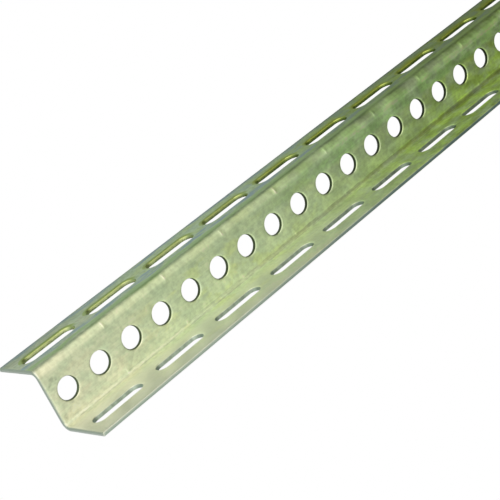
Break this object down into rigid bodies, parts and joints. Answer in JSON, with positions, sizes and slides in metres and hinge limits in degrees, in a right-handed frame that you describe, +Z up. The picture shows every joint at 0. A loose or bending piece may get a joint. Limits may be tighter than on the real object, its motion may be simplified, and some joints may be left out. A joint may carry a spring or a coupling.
{
  "type": "slotted z-section angle",
  "caption": "Length of folded steel strip with a Z section, a row of round holes along the web and a row of long slots along each flange.",
  "frame": {"origin": "centre of the bottom of the bounding box, on the floor that the part lies on", "axes": "+X along the length, +Y from the raised free edge to the free edge that lies on the floor, +Z up"},
  "size_m": [0.9, 0.084, 0.0266],
  "materials": {
    "passivated_zinc": "zinc plated and passivated, pale yellow-green with grey-blue clouds, satin"
  },
  "bodies": {
    "root": {"slotted_angle": "passivated_zinc"}
  },
  "joints": []
}
